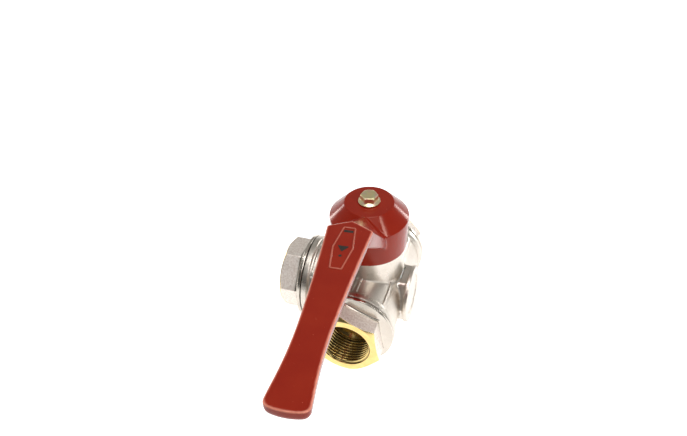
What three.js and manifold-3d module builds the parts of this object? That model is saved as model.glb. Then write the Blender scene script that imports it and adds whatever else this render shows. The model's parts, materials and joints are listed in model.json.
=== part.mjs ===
// Three way ball valve with G 3/4 female ports and an L-bored ball.
// Millimetres, +Z up. The origin is the centre of the flat pad under the body, on the stem's axis.
// The front port faces -Y, the left port -X, the back port +Y and the blind boss +X.
// Every shape below is drawn about the ball's centre; the last group lifts it onto the pad.
import * as THREE from 'three';
import { mergeVertices } from 'three/addons/utils/BufferGeometryUtils.js';
import { ConvexGeometry } from 'three/addons/geometries/ConvexGeometry.js';
import Module from 'manifold-3d';

const wasm = await Module();
wasm.setup();

// ---------------------------------------------------------------- driving dimensions

const GAP = 0.3;                      // clearance between neighbouring pieces
const CENTRE_HEIGHT = 22.3;           // ball centre above the pad
const RADIAL_SEGMENTS = 36;
const SMALL_SEGMENTS = 24;

const BALL_RADIUS = 16.2;
const BORE_RADIUS = 8;                // L bore of the ball
const SEAT_ANGLE_REACH = 16.66;       // distance of the seat's cone from the ball's centre

const CORE_RADIUS = 23;               // round chamber of the body
const BARREL_RADIUS = 21.3;           // port barrels
const COLLAR_RADIUS = 22.3;           // body collar and connector flange
const COLLAR_LENGTH = 3;
const JOINT_REACH = 32.5;             // body collar face from the centre
const CHAMBER_RADIUS = 16.4;
const SOCKET_RADIUS = 17.5;           // body's female thread for a connector
const SOCKET_DEPTH_REACH = 19.3;      // bottom of that thread from the centre
const SEAL_POCKET_RADIUS = 19.8;
const SEAL_POCKET_DEPTH = 2.1;
const PANEL_DEPTH = 0.7;              // recessed panels beside each barrel's top rib
const PANEL_INNER_X = 1.2;
const PANEL_OUTER_X = 14.8;

const PORT_REACH = 46.5;              // port face from the centre
const RIM_THICKNESS = 1.7;            // cylindrical edge of the connector's flange
const SHOULDER_REACH = 36.7;          // where the flange's cone meets the hexagon's flats
const CONE_END_LENGTH = 2.2;          // cone between the G 3/4 thread and the flow bore
const HEX_ACROSS_FLATS = 33.4;
const THREAD_MINOR_RADIUS = 12.06;    // G 3/4
const THREAD_MOUTH_RADIUS = 13.4;
const THREAD_DEPTH = 17;
const FLOW_RADIUS = 8.25;
const NOSE_RADIUS = 15.9;
const NOSE_REACH = 17.2;
const SEAT_RADIUS = 13.9;
const SEAT_BACK_REACH = 18.5;

const BLIND_REACH = 24.4;
const BLIND_DISC_RADIUS = 15.5;
const BLIND_DISC_THICKNESS = 2;
const BLIND_ACROSS_FLATS = 27;
const BLIND_RECESS_RADIUS = 10.5;
const BLIND_RECESS_DEPTH = 0.4;

const NECK_RADIUS = 17.9;
const NECK_TOP = 31.3;
const GLAND_BOSS_RADIUS = 11.5;
const GLAND_BOSS_TOP = 38;
const PACKING_BOX_RADIUS = 8;
const PACKING_BOX_BOTTOM = 30;
const PACKING_HEIGHT = 3.5;
const GLAND_ACROSS_FLATS = 16;
const GLAND_HEAD_HEIGHT = 3.7;

const STEM_RADIUS = 5;
const STEM_COLLAR_RADIUS = 8;
const STEM_COLLAR_BOTTOM = 17;
const STEM_COLLAR_TOP = 19.5;
const STEM_SHOULDER = 21.1;           // body shoulder above the thrust washer
const STEM_SQUARE = 7;
const STEM_SQUARE_BOTTOM = 43;
const STEM_TOP = 54.5;
const TAPPED_RADIUS = 2.8;
const TANG_WIDTH = 5;
const TANG_LENGTH = 13;
const TANG_BOTTOM = 12.3;
const GROOVE_RADIUS = 3.4;
const GROOVE_WIDTH = 1.9;
const GROOVE_CENTRES = { lower: 24, upper: 27.4 };
const STEM_RING_WIRE = 0.65;

const SKIRT_BOTTOM = 31.9;
const SKIRT_RADIUS = 19.7;
const RIM_HEIGHT = 50.25;
const RIM_RADIUS = 20.5;
const CAP_TOP = 58.5;
const CAP_TOP_RADIUS = 12.66;
const CAP_WALL = 2.3;                 // of the hub cap's skirt
const CAP_ROOF = 4.5;                 // thickness of the hub cap's top
const DRIVE_BOSS_RADIUS = 8.5;
const LEVER_REST_ANGLE = 3.75;           // degrees the lever points past the front port, towards the boss
const BLADE_TOP = 75;
const BLADE_THICKNESS = 6.2;
const BLADE_APEX = 36.5;              // pointed hub end of the blade, from the stem's axis
const BLADE_TIP = 147;
const BLADE_TIP_HALF = 6;           // half width of the blade's end between its rounded corners
const BLADE_BEVEL = 1.2;
const ARM_SIDE_HEIGHT = 5.6;
// half width of the blade at distances from the stem's axis
const BLADE_WIDTHS = [[41.7, 10.8], [49, 10.2], [62, 9.3], [75, 8.5], [90, 7.75], [102, 7.3],
  [112, 7.2], [122, 7.5], [131, 8.15], [138, 8.85], [143, 9.3]];

const BOLT_FLANGE_RADIUS = 5.6;
const BOLT_ACROSS_FLATS = 8;
const BOLT_HEAD_HEIGHT = 4.7;
const BOLT_SHANK_RADIUS = 2.5;
const BOLT_CLOCKING = 12;             // degrees

const STOP_INNER_RADIUS = 13;
const STOP_OUTER_RADIUS = 16.8;
const STOP_TOP = 36;
const STOP_LUG_ANGLE = 14;            // degrees of arc of each lug and of the lever's rib
const STOP_SLACK = 1;                 // degrees between rib and lug at either end of the travel
const TRAVEL = 90;                    // degrees

// a shape drawn along +Y is turned about Z onto its port
const PORT_TURNS = { front: Math.PI, left: Math.PI / 2, back: 0 };
const BLIND_TURN = -Math.PI / 2;
const CONNECTOR_CLOCKING = { front: 38.5, left: 9, back: -17 };   // degrees about each port's axis

// ---------------------------------------------------------------- finishes

const finish = (color, roughness, metalness) => ({ color, roughness, metalness });
const FINISHES = {
  nickel: finish(0xb7aca0, 0.38, 1),
  brass: finish(0xc79a45, 0.32, 1),
  chrome: finish(0xc8cacc, 0.12, 1),
  redPaint: finish(0x8f2a1c, 0.32, 0),
  zinc: finish(0xb59d5e, 0.3, 1),
  ptfe: finish(0xe9e7e0, 0.5, 0),
  rubber: finish(0x16171a, 0.7, 0),
};

// ---------------------------------------------------------------- geometry helpers

const radians = THREE.MathUtils.degToRad;

/** Signed volume of an indexed triangle mesh: negative when its faces point inwards. */
function signedVolume(position, triangles) {
  const [a, b, c] = [new THREE.Vector3(), new THREE.Vector3(), new THREE.Vector3()];
  let volume = 0;
  for (let i = 0; i < triangles.length; i += 3) {
    a.fromBufferAttribute(position, triangles[i]);
    b.fromBufferAttribute(position, triangles[i + 1]);
    c.fromBufferAttribute(position, triangles[i + 2]);
    volume += a.dot(b.cross(c)) / 6;
  }
  return volume;
}

/** A closed three.js geometry as a manifold solid with its faces pointing out. */
function solid(geometry) {
  const bare = geometry.clone();
  bare.deleteAttribute('normal');
  bare.deleteAttribute('uv');
  const merged = mergeVertices(bare, 1e-4);
  const index = merged.index.array;
  const triangles = [];
  for (let i = 0; i < index.length; i += 3) {
    const [p, q, r] = [index[i], index[i + 1], index[i + 2]];
    if (p !== q && q !== r && r !== p) {
      triangles.push(p, q, r);
    }
  }
  if (signedVolume(merged.attributes.position, triangles) < 0) {
    triangles.reverse();
  }
  return new wasm.Manifold(new wasm.Mesh({
    numProp: 3,
    vertProperties: new Float32Array(merged.attributes.position.array),
    triVerts: new Uint32Array(triangles),
  }));
}

const join = (...solids) => solids.reduce((sum, next) => sum.add(next));
const cut = (base, ...tools) => tools.reduce((rest, tool) => rest.subtract(tool), base);

function geometryOf(manifold) {
  const mesh = manifold.getMesh();
  const geometry = new THREE.BufferGeometry();
  geometry.setAttribute('position', new THREE.BufferAttribute(mesh.vertProperties, 3));
  geometry.setIndex(new THREE.BufferAttribute(mesh.triVerts, 1));
  geometry.computeVertexNormals();
  return geometry;
}

/** Turned shape about +Y from [height along the axis, radius] points. */
function turned(points, segments = RADIAL_SEGMENTS) {
  const profile = points.map(([along, radius]) => new THREE.Vector2(radius, along));
  return new THREE.LatheGeometry(profile, segments);
}

/** Turned shape about +Z. */
const turnedUp = (points, segments) => turned(points, segments).rotateX(Math.PI / 2);

/** Plain cylinder of one radius between two heights, as a turned profile. */
const rod = (radius, from, to) => [[from, 0], [from, radius], [to, radius], [to, 0]];

/** Ring of rectangular section between two radii, as a turned profile. */
function ring(inner, outer, from, to) {
  return [[from, inner], [from, outer], [to, outer], [to, inner], [from, inner]];
}

/** Hexagonal prism about +Y with two flats square to Z, then clocked about its axis. */
function hexagon(acrossFlats, from, to, clocking = 0) {
  const corner = acrossFlats / Math.sqrt(3);
  const prism = new THREE.CylinderGeometry(corner, corner, to - from, 6, 1, false, Math.PI / 6);
  return prism.translate(0, (from + to) / 2, 0).rotateY(radians(clocking));
}

function box(from, to) {
  const size = to.map((high, i) => high - from[i]);
  const centre = to.map((high, i) => (high + from[i]) / 2);
  return new THREE.BoxGeometry(...size).translate(...centre);
}

/** Block of a ring about Z, spanning the angles start to end in degrees. */
function sector(inner, outer, bottom, top, start, end) {
  const shape = new THREE.Shape();
  shape.absarc(0, 0, outer, radians(start), radians(end), false);
  shape.absarc(0, 0, inner, radians(end), radians(start), true);
  const settings = { depth: top - bottom, bevelEnabled: false, curveSegments: 4 };
  return new THREE.ExtrudeGeometry(shape, settings).translate(0, 0, bottom);
}

// ---------------------------------------------------------------- body

/** Barrel, collar and the two recessed panels on top of it, for one port along +Y. */
function portBarrel() {
  const shoulder = JOINT_REACH - COLLAR_LENGTH;
  const barrel = solid(turned([
    [0, 0], [0, BARREL_RADIUS], [shoulder - 0.8, BARREL_RADIUS], [shoulder, COLLAR_RADIUS],
    [JOINT_REACH, COLLAR_RADIUS], [JOINT_REACH, 0],
  ]));
  const skin = solid(turned(ring(BARREL_RADIUS - PANEL_DEPTH, CORE_RADIUS + 2, 10, shoulder - 1.4)));
  const right = solid(box([PANEL_INNER_X, 0, 0], [PANEL_OUTER_X, JOINT_REACH, CORE_RADIUS + 3]));
  const left = solid(box([-PANEL_OUTER_X, 0, 0], [-PANEL_INNER_X, JOINT_REACH, CORE_RADIUS + 3]));
  return { barrel, panels: skin.intersect(join(left, right)) };
}

/** Blind side: hexagonal boss that ends in a round disc with a shallow recess. */
function blindBoss() {
  const discStart = BLIND_REACH - BLIND_DISC_THICKNESS;
  const hex = solid(hexagon(BLIND_ACROSS_FLATS, 10, discStart + 0.2));
  const disc = solid(turned([
    [discStart, 0], [discStart, BLIND_DISC_RADIUS], [BLIND_REACH - 0.5, BLIND_DISC_RADIUS],
    [BLIND_REACH, BLIND_DISC_RADIUS - 0.5], [BLIND_REACH, 0],
  ]));
  const recess = solid(turned(rod(BLIND_RECESS_RADIUS, BLIND_REACH - BLIND_RECESS_DEPTH, BLIND_REACH + 1)));
  return cut(join(hex, disc), recess);
}

/** Turns a manifold-ready geometry maker onto one side of the valve. */
const towards = (turn, geometry) => solid(geometry.rotateZ(turn));

/** Everything cut out of the body for one port: thread, seal pocket and way into the chamber. */
function portHollow(turn) {
  return towards(turn, turned([
    [0, 0], [0, CHAMBER_RADIUS], [SOCKET_DEPTH_REACH, CHAMBER_RADIUS], [SOCKET_DEPTH_REACH, SOCKET_RADIUS],
    [JOINT_REACH - SEAL_POCKET_DEPTH, SOCKET_RADIUS], [JOINT_REACH - SEAL_POCKET_DEPTH, SEAL_POCKET_RADIUS],
    [JOINT_REACH + 1, SEAL_POCKET_RADIUS], [JOINT_REACH + 1, 0],
  ]));
}

/** Stem bore, pocket for the stem's collar and packing box. */
function stemHollow() {
  const bore = STEM_RADIUS + GAP;
  return solid(turnedUp([
    [8, 0], [8, STEM_COLLAR_RADIUS + 0.4], [STEM_SHOULDER, STEM_COLLAR_RADIUS + 0.4], [STEM_SHOULDER, bore],
    [PACKING_BOX_BOTTOM, bore], [PACKING_BOX_BOTTOM, PACKING_BOX_RADIUS],
    [GLAND_BOSS_TOP + 1, PACKING_BOX_RADIUS], [GLAND_BOSS_TOP + 1, 0],
  ]));
}

/** Two lugs on the neck that the lever's rib meets at either end of its travel. */
function travelStops() {
  const half = STOP_LUG_ANGLE / 2;
  const ribAtRest = 90 + LEVER_REST_ANGLE;
  const first = ribAtRest + half + STOP_SLACK;
  const last = ribAtRest - TRAVEL - half - STOP_SLACK;
  const lug = (start) => solid(
    sector(STOP_INNER_RADIUS, STOP_OUTER_RADIUS, NECK_TOP - 1, STOP_TOP, start, start + STOP_LUG_ANGLE));
  return join(lug(first), lug(last - STOP_LUG_ANGLE));
}

function valveBody() {
  let outside = solid(new THREE.SphereGeometry(CORE_RADIUS, RADIAL_SEGMENTS, 20).rotateX(Math.PI / 2));
  const recesses = [];
  for (const turn of Object.values(PORT_TURNS)) {
    const { barrel, panels } = portBarrel();
    outside = outside.add(towards(turn, geometryOf(barrel)));
    recesses.push(towards(turn, geometryOf(panels)));
  }
  outside = cut(outside, ...recesses);
  const neck = solid(turnedUp([
    [0, 0], [0, NECK_RADIUS], [NECK_TOP - 0.6, NECK_RADIUS], [NECK_TOP, NECK_RADIUS - 0.6],
    [NECK_TOP, GLAND_BOSS_RADIUS], [GLAND_BOSS_TOP, GLAND_BOSS_RADIUS], [GLAND_BOSS_TOP, 0],
  ]));
  outside = join(outside, neck, towards(BLIND_TURN, geometryOf(blindBoss())), travelStops());

  const reach = 2 * CORE_RADIUS;
  const underPad = solid(box([-reach, -reach, -reach], [reach, reach, -CENTRE_HEIGHT]));
  const hollowSphere = new THREE.SphereGeometry(CHAMBER_RADIUS + GAP, SMALL_SEGMENTS, 14);
  const chamber = solid(hollowSphere.rotateX(Math.PI / 2));
  const blindPocket = towards(BLIND_TURN, turned(rod(SEAT_RADIUS + GAP, 0, SEAT_BACK_REACH + GAP)));
  const ports = Object.values(PORT_TURNS).map(portHollow);
  return cut(outside, underPad, chamber, blindPocket, stemHollow(), ...ports);
}

// ---------------------------------------------------------------- end connectors and seals

/** End connector along +Y: nose with seat pocket, thread, flange, hexagon and G 3/4 socket. */
function endConnector(clocking) {
  const flangeFrom = JOINT_REACH + GAP + 0.15;
  const rimTo = flangeFrom + RIM_THICKNESS;
  const shank = SOCKET_RADIUS - GAP;
  const faceRadius = HEX_ACROSS_FLATS / 2;
  const turnedPart = solid(turned([
    [NOSE_REACH, 0], [NOSE_REACH, NOSE_RADIUS], [SOCKET_DEPTH_REACH + GAP, NOSE_RADIUS],
    [SOCKET_DEPTH_REACH + GAP, shank], [flangeFrom, shank], [flangeFrom, COLLAR_RADIUS],
    [rimTo - 0.3, COLLAR_RADIUS], [rimTo, COLLAR_RADIUS - 0.3], [SHOULDER_REACH, faceRadius],
    [SHOULDER_REACH, 0],
  ]));
  const corner = HEX_ACROSS_FLATS / Math.sqrt(3);
  const chamfer = (corner - faceRadius) * Math.tan(Math.PI / 6);
  const chamferCone = solid(turned([
    [flangeFrom, 0], [flangeFrom, corner + 0.5], [PORT_REACH - chamfer, corner],
    [PORT_REACH, faceRadius], [PORT_REACH, 0],
  ]));
  const hex = solid(hexagon(HEX_ACROSS_FLATS, flangeFrom + 0.5, PORT_REACH, clocking)).intersect(chamferCone);
  const threadEnd = PORT_REACH - THREAD_DEPTH;
  const countersink = THREAD_MOUTH_RADIUS - THREAD_MINOR_RADIUS;
  const bore = solid(turned([
    [NOSE_REACH - 1, 0], [NOSE_REACH - 1, SEAT_RADIUS + GAP], [SEAT_BACK_REACH + GAP, SEAT_RADIUS + GAP],
    [SEAT_BACK_REACH + GAP, FLOW_RADIUS], [threadEnd - CONE_END_LENGTH, FLOW_RADIUS],
    [threadEnd, THREAD_MINOR_RADIUS], [PORT_REACH - countersink, THREAD_MINOR_RADIUS],
    [PORT_REACH, THREAD_MOUTH_RADIUS],
    [PORT_REACH + 1, THREAD_MOUTH_RADIUS], [PORT_REACH + 1, 0],
  ]));
  return geometryOf(cut(join(turnedPart, hex), bore));
}

/** O-ring in the pocket between the body's collar and the connector's flange. */
function connectorSeal() {
  const shank = SOCKET_RADIUS - GAP;
  const wire = (SEAL_POCKET_RADIUS - shank) / 2 - GAP;
  const seal = new THREE.TorusGeometry((SEAL_POCKET_RADIUS + shank) / 2, wire, 6, RADIAL_SEGMENTS);
  return seal.rotateX(Math.PI / 2).translate(0, JOINT_REACH - SEAL_POCKET_DEPTH / 2 + 0.1, 0);
}

/** PTFE seat: a ring whose conical face lies against the ball. */
function ballSeat() {
  const inner = FLOW_RADIUS + 0.35;
  const slant = Math.SQRT2 * SEAT_ANGLE_REACH;      // height plus radius along the 45 degree cone
  const lip = 11.2;
  const face = slant - lip;
  const shoulder = lip + 0.7;
  return turned([
    [SEAT_BACK_REACH, inner], [slant - inner, inner], [face, lip], [face, shoulder],
    [face + SEAT_RADIUS - shoulder, SEAT_RADIUS], [SEAT_BACK_REACH, SEAT_RADIUS], [SEAT_BACK_REACH, inner],
  ]);
}

// ---------------------------------------------------------------- ball and stem

function ball() {
  const sphere = solid(new THREE.SphereGeometry(BALL_RADIUS, RADIAL_SEGMENTS, 20).rotateX(Math.PI / 2));
  const leg = (turn) => towards(turn, turned(rod(BORE_RADIUS, 0, BALL_RADIUS + 2), SMALL_SEGMENTS));
  const elbow = solid(new THREE.SphereGeometry(BORE_RADIUS, SMALL_SEGMENTS, 12));
  const slotHalf = TANG_WIDTH / 2 + GAP;
  const slotBottom = TANG_BOTTOM - GAP;
  const slot = solid(box([-slotHalf, -BALL_RADIUS, slotBottom], [slotHalf, BALL_RADIUS, BALL_RADIUS + 1]));
  return geometryOf(cut(sphere, leg(PORT_TURNS.front), leg(PORT_TURNS.left), elbow, slot));
}

/** Stem: tang, shoulder, two seal grooves, lever square and tapped hole. */
function stem() {
  const profile = [[STEM_COLLAR_BOTTOM, 0], [STEM_COLLAR_BOTTOM, STEM_COLLAR_RADIUS],
    [STEM_COLLAR_TOP, STEM_COLLAR_RADIUS], [STEM_COLLAR_TOP, STEM_RADIUS]];
  for (const centre of Object.values(GROOVE_CENTRES)) {
    const [from, to] = [centre - GROOVE_WIDTH / 2, centre + GROOVE_WIDTH / 2];
    profile.push([from, STEM_RADIUS], [from, GROOVE_RADIUS], [to, GROOVE_RADIUS], [to, STEM_RADIUS]);
  }
  profile.push([STEM_SQUARE_BOTTOM, STEM_RADIUS], [STEM_SQUARE_BOTTOM, 0]);
  const half = STEM_SQUARE / 2;
  const square = box([-half, -half, STEM_SQUARE_BOTTOM - 1], [half, half, STEM_TOP]);
  const tang = box([-TANG_WIDTH / 2, -TANG_LENGTH / 2, TANG_BOTTOM],
    [TANG_WIDTH / 2, TANG_LENGTH / 2, STEM_COLLAR_BOTTOM + 1]);
  const tapped = solid(turnedUp(rod(TAPPED_RADIUS, STEM_SQUARE_BOTTOM, STEM_TOP + 1), SMALL_SEGMENTS));
  const clockedSquare = solid(square.rotateZ(radians(LEVER_REST_ANGLE)));
  return geometryOf(cut(join(solid(turnedUp(profile, SMALL_SEGMENTS)), clockedSquare, solid(tang)), tapped));
}

function stemRing(centre) {
  const major = GROOVE_RADIUS + GAP + STEM_RING_WIRE;
  return new THREE.TorusGeometry(major, STEM_RING_WIRE, 6, SMALL_SEGMENTS).translate(0, 0, centre);
}

const thrustWasher = () => turnedUp(
  ring(STEM_RADIUS + GAP, STEM_COLLAR_RADIUS, STEM_COLLAR_TOP + GAP, STEM_SHOULDER - GAP), SMALL_SEGMENTS);

function packingRing() {
  const top = PACKING_BOX_BOTTOM + PACKING_HEIGHT;
  const section = ring(STEM_RADIUS + GAP, PACKING_BOX_RADIUS - GAP, PACKING_BOX_BOTTOM + GAP, top);
  return turnedUp(section, SMALL_SEGMENTS);
}

/** Gland nut: threaded sleeve in the packing box with a hexagon above it. */
function glandNut() {
  const headFrom = GLAND_BOSS_TOP + GAP;
  const headTo = headFrom + GLAND_HEAD_HEIGHT;
  const sleeveFrom = PACKING_BOX_BOTTOM + PACKING_HEIGHT + GAP;
  const sleeve = solid(turnedUp(rod(PACKING_BOX_RADIUS - GAP, sleeveFrom, headFrom + 0.5), SMALL_SEGMENTS));
  const head = solid(hexagon(GLAND_ACROSS_FLATS, headFrom, headTo).rotateX(Math.PI / 2));
  const hole = solid(turnedUp(rod(STEM_RADIUS + GAP, PACKING_BOX_BOTTOM, headTo + 1), SMALL_SEGMENTS));
  return geometryOf(cut(join(sleeve, head), hole));
}

// ---------------------------------------------------------------- lever and bolt

/** Flat blade, seen from above, from its pointed hub end to its rounded tip. */
function bladeOutline() {
  const right = BLADE_WIDTHS.map(([reach, half]) => new THREE.Vector2(half, -reach));
  const left = right.map((point) => new THREE.Vector2(-point.x, point.y)).reverse();
  const [lastReach, lastHalf] = BLADE_WIDTHS.at(-1);
  const cornerReach = (lastReach + BLADE_TIP) / 2 + 1.5;
  const tip = -(BLADE_TIP - 0.5);
  const outline = new THREE.Shape();
  outline.moveTo(0, -BLADE_APEX);
  outline.lineTo(right[0].x, right[0].y);
  outline.splineThru(right.slice(1));
  outline.quadraticCurveTo(lastHalf + 0.2, -cornerReach, BLADE_TIP_HALF, tip);
  outline.quadraticCurveTo(0, -(BLADE_TIP + 0.5), -BLADE_TIP_HALF, tip);
  outline.quadraticCurveTo(-lastHalf - 0.2, -cornerReach, -lastHalf, -lastReach);
  outline.splineThru(left.slice(1));
  outline.closePath();
  return outline;
}

function blade() {
  const slab = new THREE.ExtrudeGeometry(bladeOutline(), {
    depth: BLADE_THICKNESS - 2 * BLADE_BEVEL,
    bevelThickness: BLADE_BEVEL,
    bevelSize: BLADE_BEVEL,
    bevelOffset: -BLADE_BEVEL,
    bevelSegments: 2,
    curveSegments: 3,
  });
  return solid(slab.translate(0, 0, BLADE_TOP - BLADE_THICKNESS + BLADE_BEVEL));
}

/** Gabled arm that climbs from the hub cap to the blade's pointed end. */
function arm() {
  const [cornerReach, cornerHalf] = BLADE_WIDTHS[0];
  const gableSlope = (BLADE_TOP - CAP_TOP) / (BLADE_APEX - CAP_TOP_RADIUS);
  const ridgeStart = 8;
  const sideStart = 12;
  const sideHalf = 12.5;
  const sideStartHeight = 44.7;
  const points = [
    [0, ridgeStart, CAP_TOP - gableSlope * (CAP_TOP_RADIUS - ridgeStart)],
    [0, BLADE_APEX, BLADE_TOP],
  ];
  for (const side of [-1, 1]) {
    points.push([side * sideHalf, sideStart, sideStartHeight]);
    points.push([side * sideHalf, sideStart, sideStartHeight - ARM_SIDE_HEIGHT]);
    points.push([side * cornerHalf, cornerReach, BLADE_TOP]);
    points.push([side * cornerHalf, cornerReach, BLADE_TOP - BLADE_THICKNESS]);
    points.push([side * (cornerHalf - 1.4), cornerReach + 6, BLADE_TOP]);
    points.push([side * (cornerHalf - 1.4), cornerReach + 6, BLADE_TOP - BLADE_THICKNESS]);
  }
  return solid(new ConvexGeometry(points.map(([x, reach, z]) => new THREE.Vector3(x, -reach, z))));
}

/** Lever: hollow hub cap with a square drive boss and stop rib, crank arm and blade. */
function lever() {
  const cap = solid(turnedUp([
    [SKIRT_BOTTOM, 0], [SKIRT_BOTTOM, SKIRT_RADIUS], [RIM_HEIGHT, RIM_RADIUS], [CAP_TOP, CAP_TOP_RADIUS],
    [CAP_TOP, 0],
  ]));
  const hollow = solid(turnedUp([
    [SKIRT_BOTTOM - 1, 0], [SKIRT_BOTTOM - 1, SKIRT_RADIUS - CAP_WALL],
    [RIM_HEIGHT - 2, RIM_RADIUS - CAP_WALL - 0.5], [CAP_TOP - CAP_ROOF, CAP_TOP_RADIUS],
    [CAP_TOP - CAP_ROOF, 0],
  ]));
  const bossFrom = STEM_SQUARE_BOTTOM + 1.5;
  const driveBoss = solid(turnedUp(rod(DRIVE_BOSS_RADIUS, bossFrom, CAP_TOP - 2), SMALL_SEGMENTS));
  const ribHalf = STOP_LUG_ANGLE / 2;
  const rib = solid(sector(STOP_INNER_RADIUS + 0.2, SKIRT_RADIUS - 1.5, SKIRT_BOTTOM + 0.3, RIM_HEIGHT - 1,
    90 - ribHalf, 90 + ribHalf));
  const half = STEM_SQUARE / 2 + GAP;
  const socket = solid(box([-half, -half, STEM_SQUARE_BOTTOM], [half, half, STEM_TOP + GAP]));
  const boltHole = solid(turnedUp(rod(TAPPED_RADIUS, STEM_TOP - 1, CAP_TOP + 1), SMALL_SEGMENTS));
  const shell = cut(join(cap, arm(), blade()), hollow);
  return geometryOf(cut(join(shell, driveBoss, rib), socket, boltHole));
}

/** M5 flange bolt through the cap into the stem. */
function leverBolt() {
  const seat = CAP_TOP + GAP;
  const top = CAP_TOP + BOLT_HEAD_HEIGHT;
  const corner = BOLT_ACROSS_FLATS / Math.sqrt(3);
  const flange = solid(turnedUp([
    [STEM_TOP - 9, 0], [STEM_TOP - 9, BOLT_SHANK_RADIUS], [seat, BOLT_SHANK_RADIUS],
    [seat, BOLT_FLANGE_RADIUS], [seat + 0.5, BOLT_FLANGE_RADIUS], [seat + 1.3, BOLT_FLANGE_RADIUS - 1.4],
    [seat + 1.3, 0],
  ], SMALL_SEGMENTS));
  const chamferCone = solid(turnedUp([
    [seat, 0], [seat, corner + 0.1], [top - 0.5, corner + 0.1], [top, corner - 0.6], [top, 0],
  ], SMALL_SEGMENTS));
  const head = solid(hexagon(BOLT_ACROSS_FLATS, seat + 0.5, top).rotateX(Math.PI / 2)).intersect(chamferCone);
  return geometryOf(join(flange, head));
}

// ---------------------------------------------------------------- assembly

function piece(name, geometry, look) {
  const mesh = new THREE.Mesh(geometry, new THREE.MeshStandardMaterial(look));
  mesh.name = name;
  return mesh;
}

/** The pieces that one port adds, drawn along +Y and turned onto it. */
function portPieces(name, turn) {
  const port = new THREE.Group();
  port.rotation.z = turn;
  port.add(piece(`connector_${name}`, endConnector(CONNECTOR_CLOCKING[name]), FINISHES.nickel));
  port.add(piece(`connector_seal_${name}`, connectorSeal(), FINISHES.rubber));
  port.add(piece(`ball_seat_${name}`, ballSeat(), FINISHES.ptfe));
  return port;
}

const valve = new THREE.Group();
valve.position.z = CENTRE_HEIGHT;
valve.add(piece('valve_body', geometryOf(valveBody()), FINISHES.nickel));
for (const [name, turn] of Object.entries(PORT_TURNS)) {
  valve.add(portPieces(name, turn));
}
const blindSeat = piece('ball_seat_blind', ballSeat(), FINISHES.ptfe);
blindSeat.rotation.z = BLIND_TURN;
valve.add(blindSeat);
valve.add(piece('ball', ball(), FINISHES.chrome));
valve.add(piece('stem', stem(), FINISHES.brass));
valve.add(piece('thrust_washer', thrustWasher(), FINISHES.ptfe));
for (const [place, centre] of Object.entries(GROOVE_CENTRES)) {
  valve.add(piece(`stem_o_ring_${place}`, stemRing(centre), FINISHES.rubber));
}
valve.add(piece('packing_ring', packingRing(), FINISHES.ptfe));
valve.add(piece('gland_nut', glandNut(), FINISHES.brass));

const handle = new THREE.Group();
handle.rotation.z = radians(LEVER_REST_ANGLE);
handle.add(piece('lever', lever(), FINISHES.redPaint));
const bolt = piece('lever_bolt', leverBolt(), FINISHES.zinc);
bolt.rotation.z = radians(BOLT_CLOCKING);
handle.add(bolt);
valve.add(handle);

const model = new THREE.Group();
model.add(valve);
export default model;
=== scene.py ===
"""Looks of the three way valve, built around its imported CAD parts.

Shapes are drawn in millimetres about the ball's centre and go to Blender in metres.
The front port faces -Y, the left port -X, the back port +Y and the blind boss +X.
A solid is a field: a function that is negative inside it and close to the distance elsewhere.
"""
import json
import math

import bmesh
import bpy
import numpy as np
from mathutils import Matrix, Vector


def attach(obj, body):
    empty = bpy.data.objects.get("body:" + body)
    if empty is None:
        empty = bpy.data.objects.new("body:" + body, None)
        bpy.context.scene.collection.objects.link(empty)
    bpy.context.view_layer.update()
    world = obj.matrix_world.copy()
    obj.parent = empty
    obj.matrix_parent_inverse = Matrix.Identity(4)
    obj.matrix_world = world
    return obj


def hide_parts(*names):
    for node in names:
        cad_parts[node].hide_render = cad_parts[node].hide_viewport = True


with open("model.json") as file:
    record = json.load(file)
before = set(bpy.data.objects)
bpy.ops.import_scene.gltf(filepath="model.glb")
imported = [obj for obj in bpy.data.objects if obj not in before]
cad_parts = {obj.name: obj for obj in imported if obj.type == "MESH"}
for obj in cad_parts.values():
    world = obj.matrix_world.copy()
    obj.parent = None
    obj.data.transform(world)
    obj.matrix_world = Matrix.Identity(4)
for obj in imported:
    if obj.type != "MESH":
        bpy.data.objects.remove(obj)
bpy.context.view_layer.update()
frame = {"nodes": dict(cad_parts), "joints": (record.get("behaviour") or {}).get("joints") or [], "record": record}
BALL_CENTRE = Vector(frame["joints"][0]["pos_m"])
MM = 0.001

# ---------------------------------------------------------------- dimensions, in millimetres

GAP = 0.3
PAD_LEVEL = -22.3
AXIS = -5.0                     # turned outlines reach past the axis, so that it is no edge

CORE_RADIUS = 23.0
BARREL_RADIUS = 20.9
SADDLE_RADIUS = 21.45           # raised frame round the panels on top of each barrel
PANEL_RADIUS = 20.7
PANEL_HALF_WIDTH = 14.9
PANEL_REACH = 28.0
RIB_HALF_WIDTH = 1.1
COLLAR_RADIUS = 22.3
COLLAR_START = 29.5
JOINT_REACH = 32.5
CHAMBER_RADIUS = 16.7
PORT_WAY_RADIUS = 16.4          # between the ball's chamber and a port's socket
SOCKET_RADIUS = 17.5
SOCKET_BOTTOM = 19.3
SEAL_POCKET_RADIUS = 19.8
SEAL_POCKET_BOTTOM = 30.4

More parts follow.
